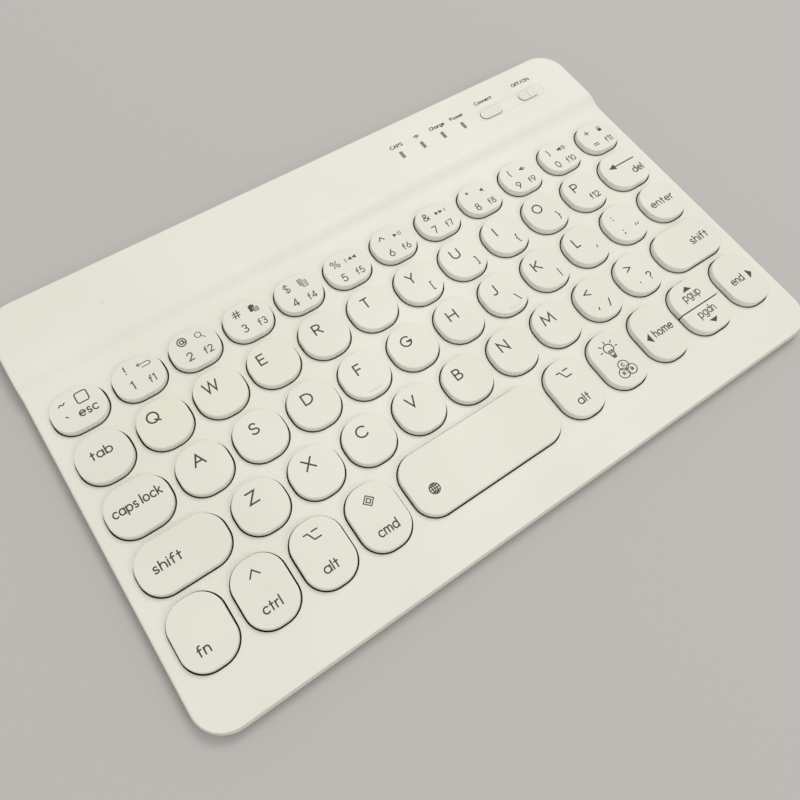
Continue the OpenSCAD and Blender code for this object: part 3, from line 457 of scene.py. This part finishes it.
def stroke_points(text):
    """The points of one stroke, whether it closes and whether it is filled."""
    closed = text.endswith("*")
    filled = text.startswith("#")
    points = []
    for item in text.strip("*#").split("|"):
        if not item.startswith("@"):
            points.append(tuple(float(v) for v in item.split()))
            continue
        cx, cy, rx, ry, a, b = (float(v) for v in item[1:].split())
        steps = max(2, math.ceil(abs(b - a) / ARC_STEP))
        for i in range(steps + 1):
            angle = math.radians(a + (b - a) * i / steps)
            points.append((cx + rx * math.cos(angle), cy + ry * math.sin(angle)))
    kept = [points[0]]
    for point in points[1:]:
        if math.dist(point, kept[-1]) > SAME:
            kept.append(point)
    if closed and math.dist(kept[0], kept[-1]) < SAME:
        kept.pop()
    return kept, closed or filled, filled


def strokes_of(text):
    """The strokes of a glyph or a picture."""
    return [stroke_points(part) for part in text.split(";") if part]


def word_strokes(word):
    """The strokes of a word and its width, on the tall letters' grid."""
    found, pen = [], 0.0
    for letter in word:
        glyph = strokes_of(GLYPHS[letter])
        width = max(x for points, _, _ in glyph for x, _ in points)
        for points, closed, filled in glyph:
            found.append(([(x + pen, y) for x, y in points], closed, filled))
        pen += width + LETTER_GAP
    return found, pen - LETTER_GAP


class Print:
    """One body's printed legends: flat closed strokes that lie on its surface."""

    def __init__(self, body, surface):
        self.body = body
        self.surface = surface
        self.mesh = bmesh.new()
        self.count = 0

    def prism(self, loops, top):
        """A closed prism on an outline, or on a band between two outlines."""
        low = self.surface - 2 * INK * MM
        rings = [
            [[self.mesh.verts.new((x * MM, y * MM, z)) for x, y in loop] for z in (low, top)]
            for loop in loops
        ]
        for bottom, upper in rings:
            for i in range(len(bottom)):
                j = (i + 1) % len(bottom)
                self.mesh.faces.new((bottom[i], bottom[j], upper[j], upper[i]))
        if len(rings) == 1:
            self.mesh.faces.new(rings[0][0])
            self.mesh.faces.new(rings[0][1])
            return
        for level in (0, 1):
            one, two = rings[0][level], rings[1][level]
            for i in range(len(one)):
                j = (i + 1) % len(one)
                self.mesh.faces.new((one[i], one[j], two[j], two[i]))

    def stroke(self, points, width, closed, filled):
        """A stroke of even width with mitred bends, or a filled outline."""
        self.count += 1
        top = self.surface + (INK - INK_STEP * (self.count % 4)) * MM
        if filled:
            self.prism([points], top)
            return
        total = len(points)
        sides = ([], [])
        for i, (x, y) in enumerate(points):
            before = points[i - 1] if closed or i else None
            after = points[(i + 1) % total] if closed or i + 1 < total else None
            arms = []
            for a, b in ((before, (x, y)), ((x, y), after)):
                if a is not None and b is not None:
                    arms.append((Vector(b) - Vector(a)).normalized())
            normals = [Vector((-arm.y, arm.x)) for arm in arms]
            middle = sum(normals, Vector((0, 0)))
            middle = middle.normalized() if middle.length > 1e-6 else normals[0]
            reach = width / 2 / max(MITRE, middle.dot(normals[0]))
            sides[0].append((x + middle.x * reach, y + middle.y * reach))
            sides[1].append((x - middle.x * reach, y - middle.y * reach))
        if closed:
            self.prism(sides, top)
            return
        last = self.round_end(points, width, -1)
        first = self.round_end(points, width, 0)
        self.prism([sides[0] + last + sides[1][::-1] + first], top)

    def round_end(self, points, width, end):
        """The inner points of a round end."""
        tip = Vector(points[end])
        way = (tip - Vector(points[-2 if end else 1])).normalized()
        side = Vector((-way.y, way.x)) * (1 if end else -1)
        turned = []
        for i in (1, 2, 3):
            angle = math.pi * i / 4
            p = tip + (math.cos(angle) * (side if end else -side) + math.sin(angle) * way) * width / 2
            turned.append((p.x, p.y))
        return turned

    def put(self, strokes, place, scale, width):
        """Strokes set down at place, with the grid's unit as long as scale in x and y."""
        for points, closed, filled in strokes:
            placed = [(place[0] + x * scale[0], place[1] + y * scale[1]) for x, y in points]
            self.stroke(placed, width, closed, filled)

    def word(self, text, x, y, height=WORD, width=SMALL_STROKE, span=None, squeeze=1.0):
        """Text whose left end and baseline are at x, y of the legend sheet."""
        strokes, long = word_strokes(text)
        across = height * squeeze if span is None else span / long
        place = (SHEET_X + x * SHEET_SCALE + width / 2, SHEET_Y + y * SHEET_SCALE + width / 2)
        self.put(strokes, place, (across, height - width), width)

    def icon(self, name, x, y, size, width=SMALL_STROKE):
        """A picture whose lower left corner is at x, y."""
        place = (SHEET_X + x * SHEET_SCALE, SHEET_Y + y * SHEET_SCALE)
        self.put(strokes_of(ICONS[name]), place, size, width)

    def finish(self):
        """Makes the piece and lets it ride on its body."""
        bmesh.ops.recalc_face_normals(self.mesh, faces=self.mesh.faces[:])
        data = bpy.data.meshes.new("legend_" + self.body)
        self.mesh.to_mesh(data)
        self.mesh.free()
        data.materials.append(INK_GREY)
        piece = bpy.data.objects.new("legend_" + self.body, data)
        bpy.context.scene.collection.objects.link(piece)
        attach(piece, self.body)


# ---------------------------------------------------------------- what is printed where
# Letters: left end and baseline on the legend sheet.
LETTERS = {
    "key_q": ("Q", 24.0, -9.6),
    "key_w": ("W", 43.0, -9.9),
    "key_e": ("E", 62.1, -10.1),
    "key_r": ("R", 82.6, -10.2),
    "key_t": ("T", 101.6, -10.3),
    "key_y": ("Y", 119.9, -10.4),
    "key_u": ("U", 138.8, -10.3),
    "key_i": ("I", 158.0, -10.3),
    "key_o": ("O", 176.0, -10.3),
    "key_p": ("P", 195.1, -10.2),
    "key_a": ("A", 29.0, -29.0),
    "key_s": ("S", 48.1, -29.4),
    "key_d": ("D", 66.6, -29.6),
    "key_f": ("F", 86.0, -29.7),
    "key_g": ("G", 104.0, -29.6),
    "key_h": ("H", 123.0, -29.7),
    "key_j": ("J", 141.5, -29.5),
    "key_k": ("K", 160.2, -29.6),
    "key_l": ("L", 179.3, -29.5),
    "key_z": ("Z", 36.6, -47.9),
    "key_x": ("X", 55.6, -48.1),
    "key_c": ("C", 74.4, -48.2),
    "key_v": ("V", 93.3, -48.3),
    "key_b": ("B", 111.8, -48.4),
    "key_n": ("N", 130.4, -48.3),
    "key_m": ("M", 149.0, -48.3),
}
# Words: text, left end, baseline and how far it reaches.
WORDS = {
    "key_tab": [("tab", 5.2, -10.9, 6.9)],
    "key_delete": [("del", 221.6, -14.7, 5.1)],
    "key_caps_lock": [("caps", 2.8, -30.4, 7.9), ("lock", 11.6, -30.3, 6.5)],
    "key_enter": [("enter", 215.8, -31.3, 10.9)],
    "key_shift_left": [("shift", 5.2, -50.5, 9.0)],
    "key_shift_right": [("shift", 217.0, -51.0, 8.5)],
    "key_fn": [("fn", 5.0, -76.7, 3.8)],
    "key_ctrl": [("ctrl", 24.7, -76.9, 6.0)],
    "key_alt_left": [("alt", 44.3, -76.9, 5.1)],
    "key_meta": [("cmd", 62.9, -76.9, 7.0)],
    "key_alt_right": [("alt", 140.1, -76.9, 4.9)],
    "key_home": [("home", 178.3, -72.2, 8.6)],
    "key_end": [("end", 216.8, -72.1, 5.8)],
    "key_page_up": [("pgup", 197.1, -67.5, 7.8)],
    "key_page_down": [("pgdn", 197.1, -75.2, 7.8)],
}
THIN_WORDS = {
    "key_alt_right": 0.4,
    "key_enter": 0.41,
    "key_home": 0.41,
    "key_end": 0.39,
    "key_page_up": 0.36,
    "key_page_down": 0.36,
}
# Second legends: text, left end, baseline, height.
SECOND = {
    "key_y": ("[", 126.0, -16.3, 3.7),
    "key_u": ("]", 145.2, -16.2, 3.7),
    "key_i": ("{", 163.4, -16.3, 3.8),
    "key_o": ("}", 182.8, -16.3, 3.8),
    "key_p": ("f12", 199.0, -15.8, SMALL),
    "key_j": ("\\", 147.8, -35.3, 3.3),
    "key_k": ("|", 167.3, -35.4, 3.2),
    "key_l": ("'", 185.9, -35.3, 3.4),
}
# Signs: text, left end, baseline, height.
POINTS = {
    "key_semicolon": [(":", 198.8, -27.6, 2.9), (";", 198.8, -34.0, 2.6), ('"', 204.8, -35.6, 3.4)],
    "key_comma": [("<", 168.2, -47.6, 3.6), (",", 169.0, -52.9, 3.2), ("/", 173.5, -54.2, 3.2)],
    "key_period": [(">", 187.7, -47.6, 3.6), (".", 188.9, -52.9, 3.2), ("?", 192.9, -53.7, 3.4)],
}
# Pictures: name, left, foot, width, height.
PICTURES = {
    "key_delete": [("arrow", 213.8, -9.7, 12.4, 2.7)],
    "key_ctrl": [("caret", 26.2, -65.9, 3.2, 2.0)],
    "key_alt_left": [("option", 44.7, -66.4, 4.5, 2.5)],
    "key_meta": [("diamond", 64.3, -67.2, 3.6, 3.6)],
    "key_space": [("globe", 83.0, -74.9, 3.4, 3.4)],
    "key_alt_right": [("option", 140.3, -66.6, 4.6, 2.5)],
    "key_light": [("bulb", 158.0, -69.8, 7.1, 6.3), ("circles", 158.1, -77.7, 7.1, 5.9)],
    "key_home": [("left", 174.9, -73.1, 2.0, 3.9)],
    "key_page_up": [("up", 199.0, -64.1, 4.0, 1.8)],
    "key_page_down": [("down", 199.0, -78.8, 3.8, 1.7)],
    "key_end": [("right", 224.8, -72.8, 2.0, 3.9)],
}
BOLD_PICTURES = {"arrow": ARROW_STROKE, "caret": 0.44, "option": 0.44, "bulb": SMALL_STROKE}
# The escape key: its word, its picture and its two signs.
ESCAPE = ("esc", 8.4, 4.0, 5.7)
ESCAPE_PICTURE = ("window", 9.6, 8.5, (3.7, 3.8))
ESCAPE_SIGNS = [("~", 4.0, 9.0, 3.6), ("`", 4.6, 3.2, 3.4)]
# The number row: shifted sign, digit, function, picture, the digit's middle.
NUMBERS = [
    ("!", "1", "f1", "back", 25.9),
    ("@", "2", "f2", "magnifier", 45.3),
    ("#", "3", "f3", "paste", 64.8),
    ("$", "4", "f4", "copy", 83.7),
    ("%", "5", "f5", "previous", 102.7),
    ("^", "6", "f6", "play", 122.1),
    ("&", "7", "f7", "next", 140.9),
    ("*", "8", "f8", "mute", 160.2),
    ("(", "9", "f9", "quieter", 179.5),
    (")", "0", "f10", "louder", 198.7),
    ("+", "=", "f11", "lock", 218.3),
]
NUMBER_PICTURE = {
    "back": (4.3, 3.0),
    "magnifier": (2.9, 3.0),
    "paste": (2.9, 3.1),
    "copy": (2.7, 3.4),
    "previous": (4.1, 1.5),
    "play": (3.0, 1.5),
    "next": (4.1, 1.5),
    "mute": (1.8, 2.0),
    "quieter": (2.8, 2.0),
    "louder": (3.8, 2.1),
    "lock": (1.7, 2.4),
}
# Heights on the sheet at the row's first key, and how much lower they are from the fifth key on.
SIGN_BASE, SIGN_FALL = 9.6, 1.1
DIGIT_BASE, DIGIT_FALL = 3.7, 1.3
FUNCTION_BASE, FUNCTION_FALL = 3.2, 0.8
PICTURE_BASE, PICTURE_FALL = 10.6, 0.9
FALLING_KEYS = 4
FUNCTION_SHIFT = 6.0  # from the digit's middle to the middle of the function and its picture
DIGIT_SHIFT = -0.15  # of the sign and the digit
# The bar: text, left end, baseline and how far it reaches.
LABELS = [
    ("CAPS", 148.15, 42.25, 5.3),
    ("Charge", 166.5, 42.45, 6.7),
    ("Power", 176.45, 42.55, 5.9),
    ("Connect", 189.4, 44.05, 8.3),
    ("OFF/ON", 208.45, 44.35, 8.6),
]
RADIO_PICTURE = ("waves", 159.0, 42.15, (2.6, 2.2))


def print_number_row(row):
    """The legends of the twelve keys that share a body."""
    text, x, y, span = ESCAPE
    row.word(text, x, y, WORD, WORD_STROKE, span)
    row.icon(*ESCAPE_PICTURE)
    for text, x, y, height in ESCAPE_SIGNS:
        row.word(text, x, y, height)
    for i, (sign, digit, function, picture, middle) in enumerate(NUMBERS):
        fall = min(1.0, i / FALLING_KEYS)
        bases = (SIGN_BASE - SIGN_FALL * fall, DIGIT_BASE - DIGIT_FALL * fall)
        for text, base in zip((sign, digit), bases):
            _, wide = word_strokes(text)
            width = THIN_SIGNS.get(text, SMALL_STROKE)
            left = middle - wide * DIGIT * SIGN_SQUEEZE / 2 + DIGIT_SHIFT
            row.word(text, left, base, DIGIT, width, squeeze=SIGN_SQUEEZE)
        _, wide = word_strokes(function)
        left = middle + FUNCTION_SHIFT - wide * SMALL * FUNCTION_SQUEEZE / 2
        base = FUNCTION_BASE - FUNCTION_FALL * fall
        row.word(function, left, base, SMALL, PICTURE_STROKE, squeeze=FUNCTION_SQUEEZE)
        size = NUMBER_PICTURE[picture]
        left = middle + FUNCTION_SHIFT - size[0] / 2
        foot = PICTURE_BASE - PICTURE_FALL * fall - size[1] / 2
        row.icon(picture, left, foot, size, MEDIA_STROKE)


def print_legends():
    """Prints every key and the bar, one piece for each body."""
    prints = {}

    def on(body, surface=KEY_TOP):
        if body not in prints:
            prints[body] = Print(body, surface)
        return prints[body]

    for body, (letter, x, y) in LETTERS.items():
        on(body).word(letter, x, y, LETTER, LETTER_STROKE)
    for body, words in WORDS.items():
        for text, x, y, span in words:
            width = THIN_WORDS.get(body, WORD_STROKE)
            on(body).word(text, x, y, WORD, width, span - width)
    for body, (text, x, y, height) in SECOND.items():
        on(body).word(text, x, y, height, squeeze=SECOND_SQUEEZE)
    for body, signs in POINTS.items():
        for text, x, y, height in signs:
            width = SMALL_STROKE if text == '"' else POINT_STROKE
            on(body).word(text, x, y, height, width)
    for body, pictures in PICTURES.items():
        for name, x, y, wide, high in pictures:
            width = BOLD_PICTURES.get(name, PICTURE_STROKE)
            on(body).icon(name, x, y, (wide, high), width)
    print_number_row(on("number_row_keys"))
    bar = on("case", BAR_TOP)
    for text, x, y, span in LABELS:
        bar.word(text, x, y, LABEL, LABEL_STROKE, span)
    bar.icon(*RADIO_PICTURE)
    for made in prints.values():
        made.finish()


print_legends()


# ---------------------------------------------------------------- lifts and domes, cut into one piece per key
def fold_under_keys(node, material):
    """Each key's share of a node becomes a piece of its own that rides on the case, and the node is hidden."""
    source = nodes[node].data
    joints = {j["child"]: j["name"] for j in frame["joints"]}
    made = []
    for body, joint in joints.items():
        if not joint.endswith("_press") or body == "connect_button":
            continue
        low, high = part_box(body)
        shape = bmesh.new()
        shape.from_mesh(source)
        outside = []
        for face in shape.faces:
            at = face.calc_center_median()
            if not (low.x < at.x < high.x and low.y < at.y < high.y):
                outside.append(face)
        bmesh.ops.delete(shape, geom=outside, context="FACES")
        data = bpy.data.meshes.new(node + "_" + body)
        shape.to_mesh(data)
        shape.free()
        data.materials.clear()
        data.materials.append(material)
        piece = bpy.data.objects.new(node + "_" + body, data)
        bpy.context.scene.collection.objects.link(piece)
        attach(piece, "case")
        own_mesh(piece)
        made.append(piece)
    for piece in made:
        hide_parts(node)


fold_under_keys("scissor_lifts", LIFT)
fold_under_keys("rubber_domes", DOME)


# ---------------------------------------------------------------- floor, lamps and camera
def make_floor():
    """The plain pale floor, far wider than any view."""
    data = bpy.data.meshes.new("floor")
    corners = [(x * FLOOR_HALF, y * FLOOR_HALF, 0) for x, y in ((-1, -1), (1, -1), (1, 1), (-1, 1))]
    data.from_pydata(corners, [], [(0, 1, 2, 3)])
    floor = bpy.data.objects.new("floor", data)
    g = Graph("floor")
    data.materials.append(g.finish(FLOOR_PALE, 0.9, specular=0.2))
    bpy.context.scene.collection.objects.link(floor)


def add_lamp(name, place, power, colour):
    """A round soft lamp that shines at the part's middle."""
    lamp = bpy.data.lights.new(name, "AREA")
    lamp.shape = "DISK"
    lamp.size = LAMP_SIZE
    lamp.energy = power
    lamp.color = colour
    holder = bpy.data.objects.new(name, lamp)
    holder.location = place
    holder.rotation_euler = (-Vector(place)).to_track_quat("-Z", "Y").to_euler()
    bpy.context.scene.collection.objects.link(holder)


def make_light():
    """A pale sky, a lamp high at the rear right and a weaker one in front."""
    scene = bpy.context.scene
    world = bpy.data.worlds.new("studio")
    world.use_nodes = True
    sky = world.node_tree.nodes["Background"]
    sky.inputs["Color"].default_value = (0.99, 0.985, 0.97, 1)
    sky.inputs["Strength"].default_value = 0.68
    scene.world = world
    add_lamp("ceiling", (0.95, 0.8, 2.1), 16.5, (1.0, 0.992, 0.968))
    add_lamp("window", (0.6, -1.4, 1.5), 5.5, (0.98, 0.99, 1.0))
    scene.view_settings.view_transform = "Standard"


def make_camera():
    """The photo's view, fitted to the corners of the key rows."""
    lens = bpy.data.cameras.new("camera")
    lens.lens = 31.62
    lens.sensor_width = 36.0
    lens.clip_start = 0.01
    camera = bpy.data.objects.new("camera", lens)
    camera.location = (-0.08598, -0.08952, 0.20927)
    camera.rotation_euler = Euler((0.42554, -0.06715, -0.60669), "XYZ")
    bpy.context.scene.collection.objects.link(camera)
    bpy.context.scene.camera = camera


make_floor()
make_light()
make_camera()
